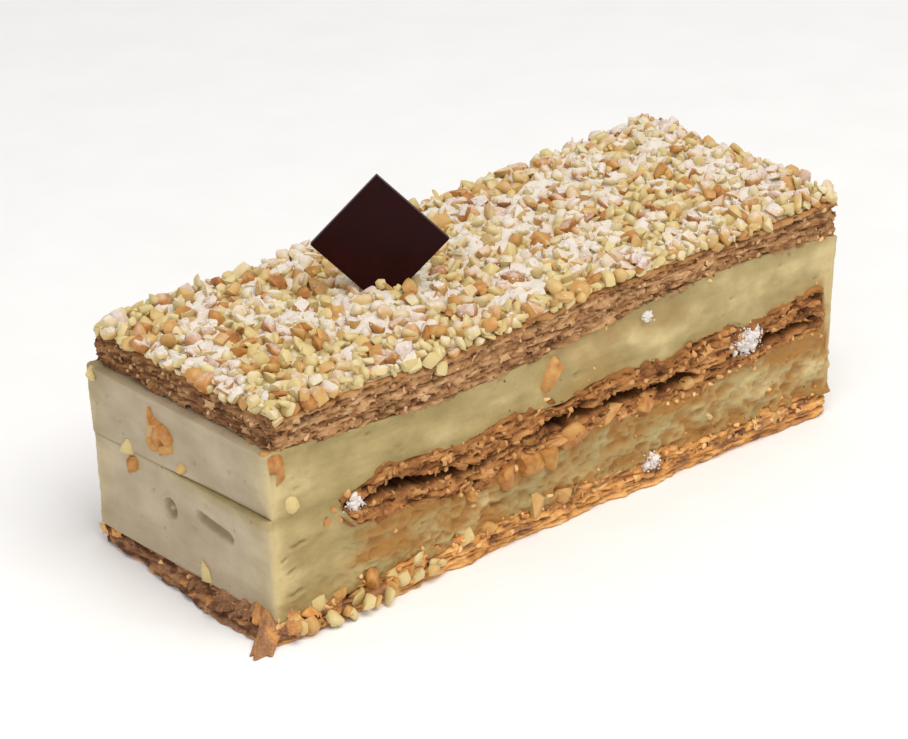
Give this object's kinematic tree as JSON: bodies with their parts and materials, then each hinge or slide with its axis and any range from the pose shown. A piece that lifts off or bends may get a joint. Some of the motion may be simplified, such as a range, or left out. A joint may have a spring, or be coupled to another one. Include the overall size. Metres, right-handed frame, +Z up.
{
  "type": "mille feuille slice",
  "caption": "Long block of layered pastry: flaky sheets with vanilla cream between them, a crust of chopped nuts on top and a square chocolate plaque standing on one corner in the nuts.",
  "frame": {"origin": "on the surface that the slice stands on, under the middle of its bounding box", "axes": "+X along the slice's long side, +Y from the side that shows its layers to the back, +Z up"},
  "size_m": [0.1914, 0.0778, 0.0887],
  "materials": {
    "pastry": "dry baked crust, matte",
    "cream": "set custard cream, soft satin",
    "nuts": "roasted chopped nuts dusted with icing sugar, matte",
    "chocolate": "dark tempered chocolate, gloss"
  },
  "bodies": {
    "root": {"base_pastry": "pastry", "lower_cream": "cream", "middle_pastry": "pastry", "upper_cream": "cream", "top_pastry": "pastry", "nut_topping": "nuts", "chocolate_plaque": "chocolate"}
  },
  "joints": []
}
